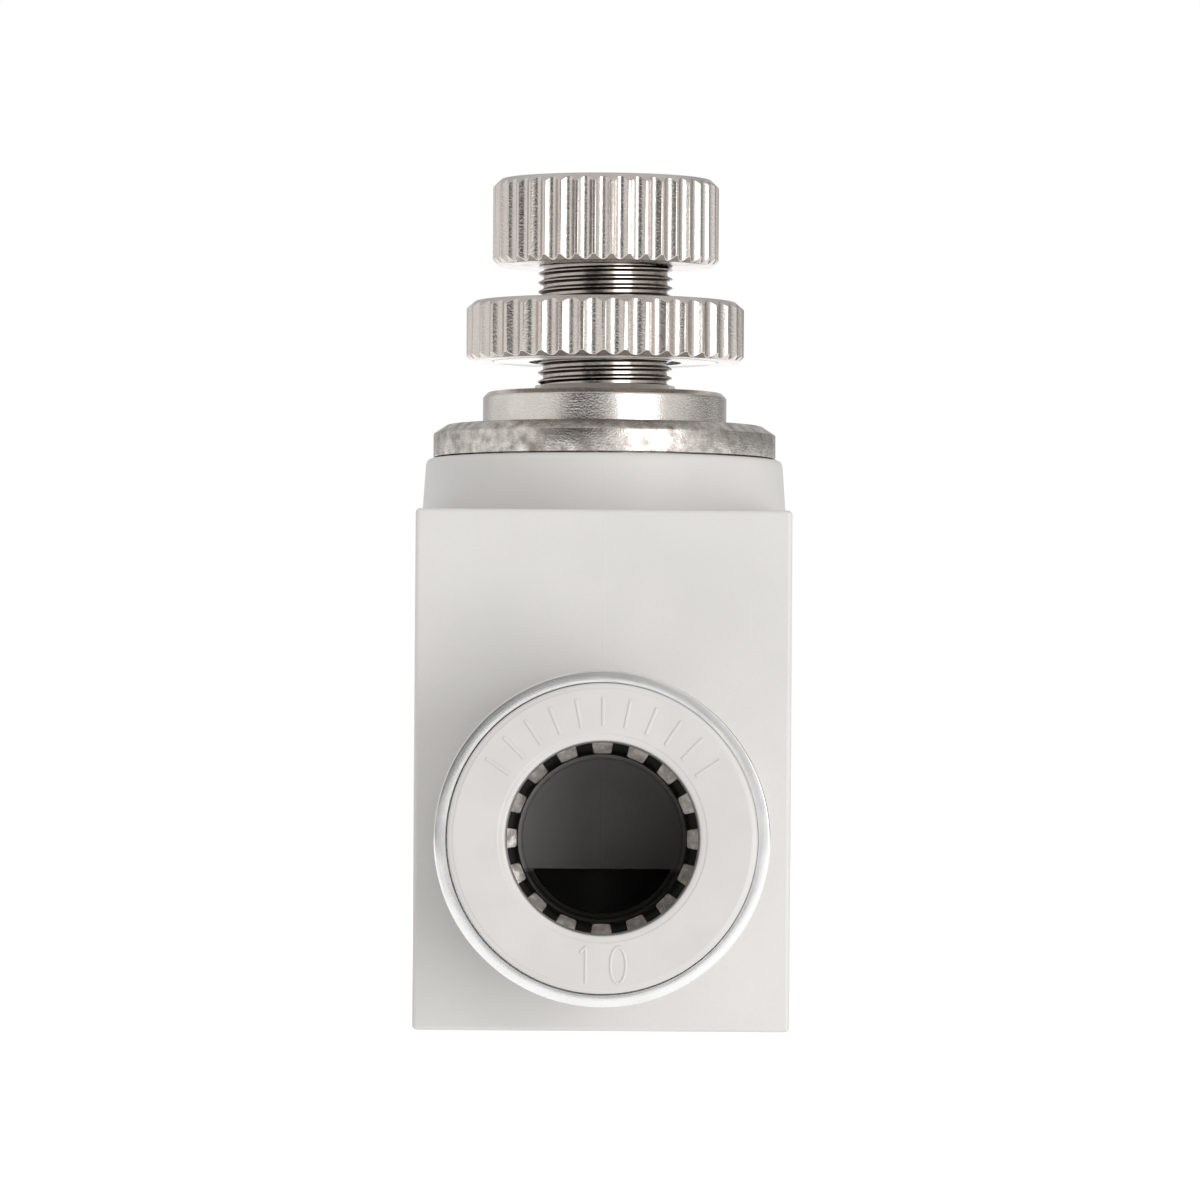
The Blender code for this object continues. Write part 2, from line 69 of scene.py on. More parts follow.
def heights(node):
    low, high = box(node)
    return low.z, high.z


def radius_of(node):
    low, high = box(node)
    return (high.x - low.x) / 2


# Sizes that the CAD model gives
PORT_Z = sum(heights("collar_front")) / 2
BODY_WIDTH = 2 * radius_of("valve_body")
BARREL_END, BOSS_TOP = box("valve_body")[1].yz
FLANGE_RADIUS, FLANGE_TOP = radius_of("retaining_flange"), heights("retaining_flange")[1]
CARTRIDGE_LOW, CARTRIDGE_TOP = heights("cartridge")
KNOB_RADIUS = radius_of("knob")
KNOB_BOTTOM, KNOB_TOP = heights("knob")
NUT_RADIUS = radius_of("lock_nut")
NUT_BOTTOM, NUT_TOP = heights("lock_nut")
WASHER_RADIUS = radius_of("nut_washer")
WASHER_BOTTOM, WASHER_TOP = heights("nut_washer")
NEEDLE_POINT, SPIGOT_TOP = heights("needle_stem")
COLLAR_RADIUS, COLLAR_END = radius_of("collar_front"), box("collar_rear")[1].y
RELEASE_RADIUS = radius_of("release_ring_front")
RELEASE_NOSE, RELEASE_END = (corner.y for corner in box("release_ring_rear"))

# Outside of the body
BLOCK_LENGTH, BLOCK_HEIGHT, BLOCK_EDGE = 32.0, 27.95, 0.25
BARREL_RADIUS, BARREL_FILLET = 8.75, 0.3
BOSS_BASE_RADIUS, BOSS_TOP_RADIUS = 10.09, 9.86
SUNK = 3.0  # how far a barrel or the boss reaches into the block
CUT_PAST = 1.0  # how far a cut runs on past the surface

# Needle bore, from the bottom up
CHAMBER_FLOOR, CHAMBER_RADIUS = 3.0, 5.0
CHECK_BORE_FLOOR, CHECK_BORE_RADIUS = 8.75, 5.6
CARTRIDGE_BORE_FLOOR, CARTRIDGE_BORE_RADIUS = 10.9, 6.6
RETAINER_FLOOR, RETAINER_RADIUS = 28.4, 8.6

# Tube socket, from the needle's axis outwards
SOCKET_FLOOR, FLOOR_DISH, PASSAGE_RADIUS = 8.8, 0.9, 4.3
TUBE_STOP, TUBE_PILOT_RADIUS = 10.5, 5.1
SEAL_FLOOR, SEAL_BORE_RADIUS = 11.8, 7.35
CASSETTE_FLOOR, CASSETTE_RADIUS = 15.0, 7.7

# Ducts from the sockets to the needle bore, and the two holes for fixing screws
DUCT_RADIUS, DUCT_OFFSET = 4.1, 1.65
DUCT_START, DUCT_END = {"front": 3.0, "rear": 5.0}, SOCKET_FLOOR + 0.7
SCREW_HOLE_RADIUS, SCREW_HOLE_Y, SCREW_HOLE_Z = 2.15, 12.2, 22.8

# Cartridge and needle. A groove is (low, high).
GUIDE_BORE, GUIDE_FLOOR, GUIDE_TOP = 4.3, 18.5, 28.0
UPPER_GROOVE, LOWER_GROOVE, STEM_GROOVE = (24.8, 26.6), (20.4, 22.2), (21.8, 23.6)
THREAD_CREST, THREAD_ROOT, THREAD_PITCH = 3.72, 3.44, 0.5
THREAD_LOW = 27.0
THREAD_BORE = 3.8

# Flutes of the knob and the nut. An edge is the (width, height) of the cone that cuts them off.
FLUTES, FLUTE_DEPTH, FLUTE_LAND, FLUTE_STEPS = 40, 0.26, 0.2, 12
KNOB_FLUTE_TURN, NUT_FLUTE_TURN = -91.6, -86.1  # where one flute's bottom lies, in degrees from +X
KNOB_LOW_EDGE, KNOB_HIGH_EDGE = (0.3, 0.33), (0.45, 0.44)
NUT_LOW_EDGE, NUT_HIGH_EDGE = (0.3, 0.28), (0.48, 0.4)
WHEEL_WEAR = 0.025

# Grab ring and release ring
GRAB_TEETH, GRAB_PLANE, GRAB_THICKNESS = 16, 17.3, 0.3
GRAB_TIP_RADIUS, GRAB_ROOT_RADIUS, GRAB_RIM_RADIUS = 4.55, 6.3, 7.5
GRAB_LEAN = math.radians(21)  # how far the teeth are bent inwards out of the sheet
RELEASE_BORE = 5.08
RELEASE_SLACK = (0.03, 0.03, 0.0)  # where the front ring lies in the collar's play


# ---------------------------------------------------------------- meshes


class Shape:
    """Points in millimetres, and the faces between them."""

    def __init__(self):
        self.points, self.faces = [], []

    def skin(self, loops, closed=False, caps=False):
        """Joins each loop of points to the next one, and the last to the first if closed."""
        first, count = len(self.points), len(loops[0])
        for loop in loops:
            self.points.extend(loop)
        starts = [first + count * index for index in range(len(loops))]
        pairs = list(zip(starts, starts[1:])) + ([(starts[-1], starts[0])] if closed else [])
        for low, high in pairs:
            for here in range(count):
                there = (here + 1) % count
                self.faces.append((low + here, low + there, high + there, high + here))
        if caps:
            self.faces += [[start + here for here in range(count)] for start in (starts[0], starts[-1])]
        return self

    def turn(self, profile, segments=SEGMENTS):
        """Sweeps a profile about Z. One that starts on the axis ends on it too."""
        turns = [2 * math.pi * step / segments for step in range(segments)]
        loops = [
            [(radius * math.cos(t), radius * math.sin(t), height) for t in turns]
            for radius, height in rounded(profile)
        ]
        return self.skin(loops, closed=profile[0][0] > 0)

    def mesh(self, name):
        made = bpy.data.meshes.new(name)
        made.from_pydata([Vector(point) * MM for point in self.points], [], self.faces)
        mesh = bmesh.new()
        mesh.from_mesh(made)
        bmesh.ops.remove_doubles(mesh, verts=mesh.verts, dist=MERGE_DISTANCE)
        bmesh.ops.holes_fill(mesh, edges=[edge for edge in mesh.edges if edge.is_boundary])
        bmesh.ops.recalc_face_normals(mesh, faces=mesh.faces)
        mesh.to_mesh(made)
        mesh.free()
        return smoothed(made)


def smoothed(mesh):
    mesh.shade_smooth()
    mesh.set_sharp_from_angle(angle=SHARP_ANGLE)
    return mesh


def rounded(profile):
    """A profile's outline, with each corner that has a rounding turned into a curve of that reach."""
    outline = []
    for index, (radius, height, *rounding) in enumerate(profile):
        here = Vector((radius, height))
        if not rounding:
            outline.append(here)
            continue
        neighbours = (profile[index - 1], profile[(index + 1) % len(profile)])
        legs = [Vector(neighbour[:2]) - here for neighbour in neighbours]
        start, stop = [here + leg.normalized() * min(rounding[0], CORNER_SHARE * leg.length) for leg in legs]
        for step in range(CORNER_STEPS + 1):
            t = step / CORNER_STEPS
            outline.append(start * (1 - t) ** 2 + here * 2 * t * (1 - t) + stop * t**2)
    return outline


def add_object(name, mesh):
    made = bpy.data.objects.new(name, mesh)
    bpy.context.scene.collection.objects.link(made)
    return made


def add_piece(name, mesh, finish, body, node, place=None):
    """A visible piece that stands for a CAD node."""
    piece = add_object(name, mesh)
    piece.data.materials.clear()
    piece.data.materials.append(finish)
    if place:
        piece.matrix_world = place
    shading = piece.modifiers.new("even_shading", "WEIGHTED_NORMAL")
    shading.keep_sharp = True
    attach(piece, body)
    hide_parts(node)
    return piece


def soften(piece, width):
    """Rounds a piece's sharp edges a little, as wear does."""
    bevel = piece.modifiers.new("worn_edges", "BEVEL")
    bevel.width = width * MM
    bevel.segments = 2
    bevel.limit_method = "ANGLE"
    bevel.angle_limit = WORN_ANGLE
    piece.modifiers.move(len(piece.modifiers) - 1, 0)


def combine(base, others, operation):
    """Joins other meshes to a mesh or cuts them out of it, one after another."""
    target = add_object("combining", base)
    helpers = [add_object("helper", other) for other in others]
    for helper in helpers:
        change = target.modifiers.new(operation, "BOOLEAN")
        change.operation = operation
        change.object = helper
        change.solver = "EXACT"
    depsgraph = bpy.context.evaluated_depsgraph_get()
    made = bpy.data.meshes.new_from_object(target.evaluated_get(depsgraph))
    for helper in [target] + helpers:
        bpy.data.objects.remove(helper)
    return made


def moved(mesh, place):
    mesh.transform(place)
    return mesh


def port_place(side, shift=(0, 0, 0)):
    """Where a piece in a socket goes: its +Z points out of the socket and its +Y up."""
    facing = Matrix.Rotation(math.pi / 2, 4, "X")
    if side == "rear":
        facing = Matrix.Rotation(math.pi, 4, "Z") @ facing
    centre = Matrix.Translation(Vector((0, 0, PORT_Z)) * MM)
    return centre @ facing @ Matrix.Translation(Vector(shift) * MM)


# ---------------------------------------------------------------- materials


# Where a Mix node keeps its colours. Its numbers and vectors have the same names.
MIX_COLOURS, MIX_RESULT = (6, 7), 2


class Nodes:
    """A node tree, and short ways to add nodes to it."""

    def __init__(self, tree):
        self.tree = tree

    def feed(self, socket, value):
        """Links a node's output to a socket, or sets the socket to a plain value."""
        if isinstance(value, bpy.types.NodeSocket):
            self.tree.links.new(value, socket)
        else:
            socket.default_value = value

    def add(self, kind, output=None, **sockets):
        """Adds a node and feeds its inputs, by their names. Gives back the named output, or the node."""
        made = self.tree.nodes.new("ShaderNode" + kind)
        for name, value in sockets.items():
            self.feed(made.inputs[name.replace("_", " ")], value)
        return made.outputs[output] if output else made

    def math(self, operation, *values):
        made = self.add("Math")
        made.operation = operation
        for socket, value in zip(made.inputs, values):
            self.feed(socket, value)
        return made.outputs["Value"]

    def vector(self, operation, *values, scale=None):
        made = self.add("VectorMath")
        made.operation = operation
        for socket, value in zip(made.inputs, values):
            self.feed(socket, value)
        if scale:
            made.inputs["Scale"].default_value = scale
        return made.outputs["Value" if operation == "LENGTH" else "Vector"]

    def ramp(self, value, low, high, to_low=0.0, to_high=1.0, interpolation="LINEAR"):
        """Maps low to high onto to_low to to_high, and holds it there outside."""
        made = self.add("MapRange", Value=value, From_Min=low, From_Max=high, To_Min=to_low, To_Max=to_high)
        made.interpolation_type = interpolation
        return made.outputs["Result"]

    def mix(self, share, first, second):
        """A colour between two colours, each a node's output or (red, green, blue)."""
        made = self.add("Mix", Factor=share)
        made.data_type = "RGBA"
        for index, colour in zip(MIX_COLOURS, (first, second)):
            is_output = isinstance(colour, bpy.types.NodeSocket)
            self.feed(made.inputs[index], colour if is_output else (*colour, 1.0))
        return made.outputs[MIX_RESULT]


class Finish(Nodes):
    """A material with a Principled BSDF. Its lengths are in millimetres."""

    def __init__(self, name, metallic=0.0):
        self.material = bpy.data.materials.new(name)
        self.material.use_nodes = True
        super().__init__(self.material.node_tree)
        self.surface = self.tree.nodes["Principled BSDF"]
        self.set("Metallic", metallic)
        self.place = self.vector("SCALE", self.add("TexCoord", "Object"), scale=1 / MM)

    def set(self, socket, value):
        self.feed(self.surface.inputs[socket], value)

    def noise(self, size, vector=None, detail=3.0, roughness=0.55):
        """Noise whose patches are about size millimetres across."""
        return self.add("TexNoise", "Fac", Vector=vector or self.place, Scale=1 / size, Detail=detail,
                        Roughness=roughness)

    def axis_radius(self):
        """The distance from the piece's own Z axis."""
        return self.vector("LENGTH", self.vector("MULTIPLY", self.place, (1.0, 1.0, 0.0)))

    def around(self, stretch):
        """Coordinates that barely change around the Z axis, so that noise in them lies in turned rings."""
        parts = self.add("SeparateXYZ", Vector=self.place).outputs
        along = self.math("MULTIPLY", parts["X"], 1 / stretch)
        across = self.math("MULTIPLY", parts["Y"], 1 / stretch)
        return self.add("CombineXYZ", "Vector", X=self.math("ADD", self.axis_radius(), along), Y=parts["Z"],
                        Z=across)

    def bump(self, *layers):
        """Adds (height, depth in millimetres) layers of fine relief."""
        normal = None
        for height, depth in layers:
            made = self.add("Bump", Height=height, Distance=depth * MM, Strength=1.0)
            if normal:
                self.feed(made.inputs["Normal"], normal)
            normal = made.outputs["Normal"]
        self.set("Normal", normal)


def body_plastic():
    """Warm light grey moulding, with a fine grain and a faint parting line in its middle plane.

    The walls of the air passages are darker, and darkest at the ducts, which stands in for the shadow there.
    The front duct is below the socket's axis and the rear one above it.
    """
    finish = Finish("body_plastic")
    cloudy = finish.noise(7.0, detail=2.0)
    tone = finish.mix(finish.ramp(cloudy, 0.35, 0.65), (0.63, 0.618, 0.60), (0.665, 0.652, 0.635))
    grain = finish.noise(0.12, detail=2.0)
    tone = finish.mix(finish.ramp(grain, 0.3, 0.75, 0.0, 0.35), tone, (0.60, 0.588, 0.572))

    parts = finish.add("SeparateXYZ", Vector=finish.place).outputs
    above_port = finish.math("SUBTRACT", parts["Z"], PORT_Z)
    off_port = finish.add("CombineXYZ", "Vector", X=parts["X"], Y=above_port)
    outside = finish.ramp(finish.vector("LENGTH", off_port), TUBE_PILOT_RADIUS - 0.1, TUBE_PILOT_RADIUS + 0.3)
    # Painted light and shade: the passage walls are lighter towards the upper left and darker towards the
    # lower right, and near black beyond the duct's edge.
    slant = finish.math("SUBTRACT", above_port, parts["X"])
    wall = finish.mix(finish.ramp(slant, -5.0, 5.0), (0.26, 0.25, 0.24), (0.58, 0.56, 0.54))
    flip = finish.ramp(parts["Y"], -1.0, 1.0, 1.0, -1.0)
    from_duct = finish.math("MULTIPLY", above_port, flip)
    beyond_duct = finish.ramp(from_duct, -DUCT_OFFSET - 0.2, -DUCT_OFFSET + 0.1)
    wall = finish.mix(beyond_duct, (0.05, 0.048, 0.045), wall)
    finish.set("Base Color", finish.mix(outside, wall, tone))

    finish.set("Roughness", finish.ramp(finish.noise(1.6), 0.3, 0.7, 0.40, 0.50))
    parting_line = finish.ramp(finish.math("ABSOLUTE", parts["X"]), 0.02, 0.07, 1.0, 0.0)
    finish.bump((grain, 0.006), (finish.noise(1.3, detail=2.0), 0.008), (parting_line, 0.003))
    return finish.material


def release_plastic():
    """Off-white, smoother moulding."""
    finish = Finish("release_plastic")
    cloudy = finish.noise(3.0, detail=2.0)
    tone = finish.mix(finish.ramp(cloudy, 0.35, 0.65), (0.585, 0.568, 0.552), (0.615, 0.598, 0.582))
    finish.set("Base Color", tone)
    finish.set("Roughness", finish.ramp(finish.noise(0.8), 0.3, 0.7, 0.28, 0.38))
    finish.bump((finish.noise(0.15, detail=2.0), 0.004), (finish.noise(1.0, detail=1.0), 0.006))
    return finish.material


def plated_metal(name, dark, light, streak_size, streak_depth, roughness, patch_size=1.1):
    """Nickel on turned brass: rings left by the tool, a fine grain, and patches that are duller."""
    finish = Finish(name, metallic=1.0)
    patches = finish.noise(patch_size, detail=4.0, roughness=0.6)
    streaks = finish.noise(streak_size, vector=finish.around(14.0), roughness=0.7)
    tone = finish.mix(finish.ramp(patches, 0.32, 0.68), dark, light)
    finish.set("Base Color", tone)
    low, high = roughness
    worn = finish.math("ADD", finish.math("MULTIPLY", patches, 0.6), finish.math("MULTIPLY", streaks, 0.4))
    finish.set("Roughness", finish.ramp(worn, 0.36, 0.64, high, low))
    grain = finish.noise(0.11, detail=2.0)
    finish.bump((streaks, streak_depth), (grain, 0.010), (patches, 0.006))
    return finish.material


def turned_nickel():
    """The gland's plating, with the finest rings."""
    return plated_metal("turned_nickel", (0.58, 0.545, 0.51), (0.66, 0.625, 0.595), 0.05, 0.006, (0.08, 0.17))


def flange_nickel():
    """The flange's plating is duller and mottled."""
    return plated_metal("flange_nickel", (0.27, 0.245, 0.22), (0.68, 0.645, 0.61), 0.09, 0.004,
                        (0.14, 0.34), patch_size=0.7)


def fluted_nickel():
    """The plating of the knob and the nut, with hardly any marks from turning."""
    return plated_metal("fluted_nickel", (0.57, 0.525, 0.49), (0.64, 0.60, 0.565), 0.12, 0.002, (0.14, 0.26))


def thread_nickel():
    """A thread that is bright on its crests and roots. Its flanks are painted dark, which is painted shade
    for the shadow that falls on them between the knob and the nut.
    """
    finish = Finish("thread_nickel", metallic=1.0)
    depth = finish.ramp(finish.axis_radius(), THREAD_ROOT, THREAD_CREST, -1.0, 1.0)
    crest_or_root_share = finish.ramp(finish.math("ABSOLUTE", depth), 0.80, 0.98)
    patches = finish.noise(0.5)
    share = finish.math("MULTIPLY", crest_or_root_share, finish.ramp(patches, 0.2, 0.6, 0.82, 1.0))
    # Painted shade: the flanks get a near-black colour, and the crests and roots get the plating's own tone.
    finish.set("Base Color", finish.mix(share, (0.09, 0.072, 0.062), (0.47, 0.425, 0.39)))
    finish.set("Roughness", finish.ramp(patches, 0.3, 0.7, 0.12, 0.22))
    finish.bump((finish.noise(0.05, vector=finish.around(10.0)), 0.003))
    return finish.material


def polished_collar():
    """Bright plating with a few shallow dents and hairlines."""
    finish = Finish("polished_collar", metallic=1.0)
    patches = finish.noise(1.8, detail=2.0)
    hairlines = finish.noise(0.05, vector=finish.around(20.0), detail=2.0)
    tone = finish.mix(finish.ramp(patches, 0.3, 0.7), (0.75, 0.75, 0.75), (0.81, 0.81, 0.81))
    finish.set("Base Color", tone)
    finish.set("Roughness", finish.ramp(hairlines, 0.3, 0.7, 0.12, 0.20))
    finish.bump((hairlines, 0.001), (finish.noise(3.5, detail=0.5), 0.025))
    return finish.material


def spring_steel():
    """Stamped sheet, with a rolled grain and bright burnished patches."""
    finish = Finish("spring_steel", metallic=1.0)
    patches = finish.noise(0.3, detail=4.0)
    tone = finish.mix(finish.ramp(patches, 0.35, 0.65), (0.27, 0.245, 0.225), (0.37, 0.345, 0.325))
    finish.set("Base Color", tone)
    finish.set("Roughness", finish.ramp(patches, 0.3, 0.7, 0.26, 0.16))
    finish.bump((finish.noise(0.5, detail=0.5), 0.02), (finish.noise(0.06, detail=1.0), 0.001))
    return finish.material


def black_plastic():
    """Black moulding, slightly cloudy."""
    finish = Finish("black_plastic")
    patches = finish.noise(1.5)
    finish.set("Base Color", finish.mix(patches, (0.012, 0.012, 0.012), (0.03, 0.03, 0.03)))
    finish.set("Roughness", finish.ramp(patches, 0.3, 0.7, 0.42, 0.58))
    finish.bump((finish.noise(0.1, detail=2.0), 0.005))
    return finish.material


def seal_rubber():
    """Nitrile rubber, with the mould's fine rings and a patchy film of grease."""
    finish = Finish("seal_rubber")
    patches = finish.noise(0.9)
    finish.set("Base Color", finish.mix(patches, (0.008, 0.008, 0.008), (0.022, 0.021, 0.020)))
    finish.set("Roughness", finish.ramp(patches, 0.3, 0.7, 0.32, 0.55))
    finish.bump((finish.noise(0.08, vector=finish.around(8.0)), 0.005))
    return finish.material


def washer_nylon():
    """Smooth, nearly white nylon."""
    finish = Finish("washer_nylon")
    patches = finish.noise(0.8)
    finish.set("Base Color", finish.mix(patches, (0.74, 0.73, 0.70), (0.84, 0.83, 0.80)))
    finish.set("Roughness", finish.ramp(patches, 0.3, 0.7, 0.06, 0.10))
    finish.bump((finish.noise(0.1, detail=2.0), 0.0005))
    return finish.material


# ---------------------------------------------------------------- body


def block_mesh():
    """The block, with rounded edges."""
    shape = bmesh.new()
    sides = Matrix.Diagonal(Vector((BODY_WIDTH, BLOCK_LENGTH, BLOCK_HEIGHT, 1)))
    bmesh.ops.create_cube(shape, size=1, matrix=Matrix.Translation((0, 0, BLOCK_HEIGHT / 2)) @ sides)
    bmesh.ops.bevel(shape, geom=shape.edges[:], offset=BLOCK_EDGE, segments=4, affect="EDGES", profile=0.5)
    bmesh.ops.scale(shape, vec=(MM, MM, MM), verts=shape.verts)
    made = bpy.data.meshes.new("block")
    shape.to_mesh(made)
    shape.free()
    return made


def boss_mesh():
    """The round boss on top, which tapers slightly."""
    foot = BLOCK_HEIGHT - SUNK
    profile = [
        (0, foot), (BOSS_BASE_RADIUS, foot), (BOSS_BASE_RADIUS, BLOCK_HEIGHT),
        (BOSS_TOP_RADIUS, BOSS_TOP - 0.02, 0.4), (0, BOSS_TOP),
    ]
    return Shape().turn(profile).mesh("boss")


def barrel_mesh():
    """The barrel, with a small fillet where it leaves the block."""
    face = BLOCK_LENGTH / 2
    foot, foot_radius = face - SUNK, BARREL_RADIUS + BARREL_FILLET
    profile = [
        (0, foot), (foot_radius, foot), (foot_radius, face),
        (BARREL_RADIUS, face + BARREL_FILLET, BARREL_FILLET), (BARREL_RADIUS, BARREL_END, 0.12),
        (0, BARREL_END),
    ]
    return Shape().turn(profile).mesh("barrel")


def socket_mesh():
    """The socket's bore, from its dished floor outwards."""
    steps, mouth = 8, BARREL_END + CUT_PAST
    shares = [step / steps for step in range(steps + 1)]
    dish = [(PASSAGE_RADIUS * share, SOCKET_FLOOR - FLOOR_DISH * (1 - share**2)) for share in shares]
    profile = dish + [
        (PASSAGE_RADIUS, TUBE_STOP, 0.25),
        (TUBE_PILOT_RADIUS, TUBE_STOP), (TUBE_PILOT_RADIUS, SEAL_FLOOR), (SEAL_BORE_RADIUS, SEAL_FLOOR),
        (SEAL_BORE_RADIUS, CASSETTE_FLOOR), (CASSETTE_RADIUS, CASSETTE_FLOOR), (CASSETTE_RADIUS, mouth),
        (0, mouth),
    ]
    return Shape().turn(profile).mesh("socket")


def duct_mesh(side):
    """The part of a round duct beyond a flat: below the socket's axis in front, and above it at the rear."""
    steps, up = 12, -1 if side == "front" else 1
    reach = math.acos(DUCT_OFFSET / DUCT_RADIUS)
    turns = [reach * (step / steps - 1) for step in range(2 * steps + 1)]
    outline = [(DUCT_RADIUS * math.sin(t), up * DUCT_RADIUS * math.cos(t)) for t in turns]
    loops = [[(x, y, height) for x, y in outline] for height in (DUCT_START[side], DUCT_END)]
    return moved(Shape().skin(loops, caps=True).mesh("duct"), port_place(side))


def needle_bore_mesh():
    """The bore for the cartridge and the flange's skirt, with the chamber under the seat at its foot."""
    mouth = BOSS_TOP + CUT_PAST
    profile = [
        (0, CHAMBER_FLOOR), (CHAMBER_RADIUS, CHAMBER_FLOOR), (CHAMBER_RADIUS, CHECK_BORE_FLOOR),
        (CHECK_BORE_RADIUS, CHECK_BORE_FLOOR), (CHECK_BORE_RADIUS, CARTRIDGE_BORE_FLOOR),
        (CARTRIDGE_BORE_RADIUS, CARTRIDGE_BORE_FLOOR), (CARTRIDGE_BORE_RADIUS, RETAINER_FLOOR),
        (RETAINER_RADIUS, RETAINER_FLOOR), (RETAINER_RADIUS, mouth), (0, mouth),
    ]
    return Shape().turn(profile).mesh("needle_bore")


def screw_hole_mesh(y):
    """A hole right through the block, with a small countersink at each end."""
    face, sink = BODY_WIDTH / 2, 0.35
    wide, mouth = SCREW_HOLE_RADIUS + sink, face + CUT_PAST
    profile = [
        (0, -mouth), (wide, -mouth), (wide, -face), (SCREW_HOLE_RADIUS, sink - face),
        (SCREW_HOLE_RADIUS, face - sink), (wide, face), (wide, mouth), (0, mouth),
    ]
    place = Matrix.Translation(Vector((0, y, SCREW_HOLE_Z)) * MM) @ Matrix.Rotation(math.pi / 2, 4, "Y")
    return moved(Shape().turn(profile, HOLE_SEGMENTS).mesh("screw_hole"), place)


def add_body(finish):
    added = [boss_mesh()] + [moved(barrel_mesh(), port_place(side)) for side in SIDES]
    cut = [moved(socket_mesh(), port_place(side)) for side in SIDES]
    cut += [needle_bore_mesh(), screw_hole_mesh(SCREW_HOLE_Y), screw_hole_mesh(-SCREW_HOLE_Y)]
    cut += [duct_mesh(side) for side in SIDES]
    whole = combine(block_mesh(), added, "UNION")
    mesh = smoothed(combine(whole, cut, "DIFFERENCE"))
    add_piece("body", mesh, finish, "root", "valve_body")


# ---------------------------------------------------------------- cartridge, needle, knob and nut


def add_flange(finish):
    """The ring on the boss. Its skirt goes down around the cartridge's shoulder."""
    bore, seat = 6.85, BOSS_TOP + FIT
    edge_width, edge_height = 0.75, 0.5
    skirt, skirt_bore, skirt_end = RETAINER_RADIUS - FIT, RETAINER_RADIUS - 0.65, RETAINER_FLOOR + 0.5
    profile = [
        (bore, FLANGE_TOP, 0.08), (FLANGE_RADIUS - edge_width, FLANGE_TOP, 0.08),
        (FLANGE_RADIUS, FLANGE_TOP - edge_height, 0.07), (FLANGE_RADIUS, seat, 0.05), (skirt, seat),
        (skirt, skirt_end), (skirt_bore, skirt_end), (skirt_bore, seat), (bore, seat),
    ]
    mesh = Shape().turn(profile).mesh("flange")
    add_piece("flange", mesh, finish, "root", "retaining_flange")


def add_gland(finish):
    """The cartridge. Its upper end is the gland, with a thin lip around the thread."""
    lip, edge = 0.38, 0.3
    top, outer, groove, foot_bore = CARTRIDGE_TOP - lip, 6.5, 5.5, 5.3
    gland, shoulder = 6.75, 7.85
    shoulder_low, shoulder_top = RETAINER_FLOOR + FIT, BOSS_TOP - 0.1
    profile = [
        (THREAD_BORE, CARTRIDGE_TOP), (THREAD_BORE + 0.05, CARTRIDGE_TOP), (THREAD_BORE + 0.2, top + 0.05),
        (THREAD_BORE + 0.35, top), (gland - edge, top, 0.08), (gland, top - edge, 0.08),
        (gland, shoulder_top), (shoulder, shoulder_top), (shoulder, shoulder_low), (outer, shoulder_low),
    ]
    for low, high in (UPPER_GROOVE, LOWER_GROOVE):
        profile += [(outer, high), (groove, high), (groove, low), (outer, low)]
    profile += [
        (outer, CARTRIDGE_LOW), (foot_bore, CARTRIDGE_LOW), (foot_bore, GUIDE_FLOOR),
        (GUIDE_BORE, GUIDE_FLOOR), (GUIDE_BORE, GUIDE_TOP), (THREAD_BORE, GUIDE_TOP),
    ]
    mesh = Shape().turn(profile).mesh("gland")
    add_piece("gland", mesh, finish, "root", "cartridge")


def add_thread(shape, low, high):
    """A right-hand thread. Each row of points climbs one pitch around the axis, and both ends are cut flat.

    A corner of the thread's section is a (share of the pitch, radius).
    """
    corners = [(0.0, THREAD_ROOT), (0.3, THREAD_ROOT), (0.56, THREAD_CREST), (0.7, THREAD_CREST)]
    first, count = len(shape.points), SEGMENTS + 1
    turns = range(-1, math.ceil((high - low) / THREAD_PITCH) + 1)
    starts = [(turn + share, radius) for turn in turns for share, radius in corners]
    for start, radius in starts:
        for step in range(count):
            along = step / SEGMENTS
            height = min(max(low + THREAD_PITCH * (start + along), low), high)
            angle = 2 * math.pi * along
            shape.points.append((radius * math.cos(angle), radius * math.sin(angle), height))
    for row in range(len(starts) - 1):
        for step in range(SEGMENTS):
            here = first + row * count + step
            shape.faces.append((here, here + 1, here + 1 + count, here + count))


def add_stem(finish):
    """The needle: point, stem and piston, the thread, and the end that is turned over in the knob."""
    piston, piston_low, piston_top = 4.2, 20.05, 24.95
    groove, (groove_low, groove_high) = 3.1, STEM_GROOVE
    neck, neck_top = 3.3, piston_top + 1.0
    core, core_end = THREAD_ROOT - 0.02, THREAD_LOW + 0.6
    stem, cone, point = 2.9, 2.1, 1.1
    cone_top = NEEDLE_POINT + 4.5
    lower = [
        (0, core_end), (core, core_end), (core, neck_top), (neck, neck_top), (neck, piston_top),
        (piston, piston_top, 0.1), (piston, groove_high), (groove, groove_high), (groove, groove_low),
        (piston, groove_low), (piston, piston_low, 0.1), (stem, piston_low, 0.2), (stem, cone_top + 0.2),
        (cone, cone_top), (point, NEEDLE_POINT + 0.3, 0.1), (0, NEEDLE_POINT),
    ]
    spigot, spigot_low = 2.95, KNOB_BOTTOM - 0.6
    head, head_edge, head_low = 3.4, SPIGOT_TOP - 0.2, SPIGOT_TOP - 0.35
    dimple, dimple_rim, dimple_floor = 0.5, 0.9, SPIGOT_TOP - 0.12
    upper = [
        (0, dimple_floor), (dimple, dimple_floor), (dimple_rim, SPIGOT_TOP, 0.15),
        (head - 0.3, SPIGOT_TOP, 0.15), (head, head_edge, 0.1), (head, head_low), (spigot, head_low),
        (spigot, spigot_low), (0, spigot_low),
    ]
    shape = Shape().turn(lower).turn(upper)
    add_thread(shape, THREAD_LOW, KNOB_BOTTOM - FIT)
    add_piece("stem", shape.mesh("stem"), finish, "adjusting_screw", "needle_stem")


def flute_radius(share, radius):
    """The outside of a fluted wheel, from the bottom of one flute to that of the next."""
    away = min(share, 1 - share) / (0.5 - FLUTE_LAND / 2)
    return radius - FLUTE_DEPTH * max(0.0, 1 - away**2)


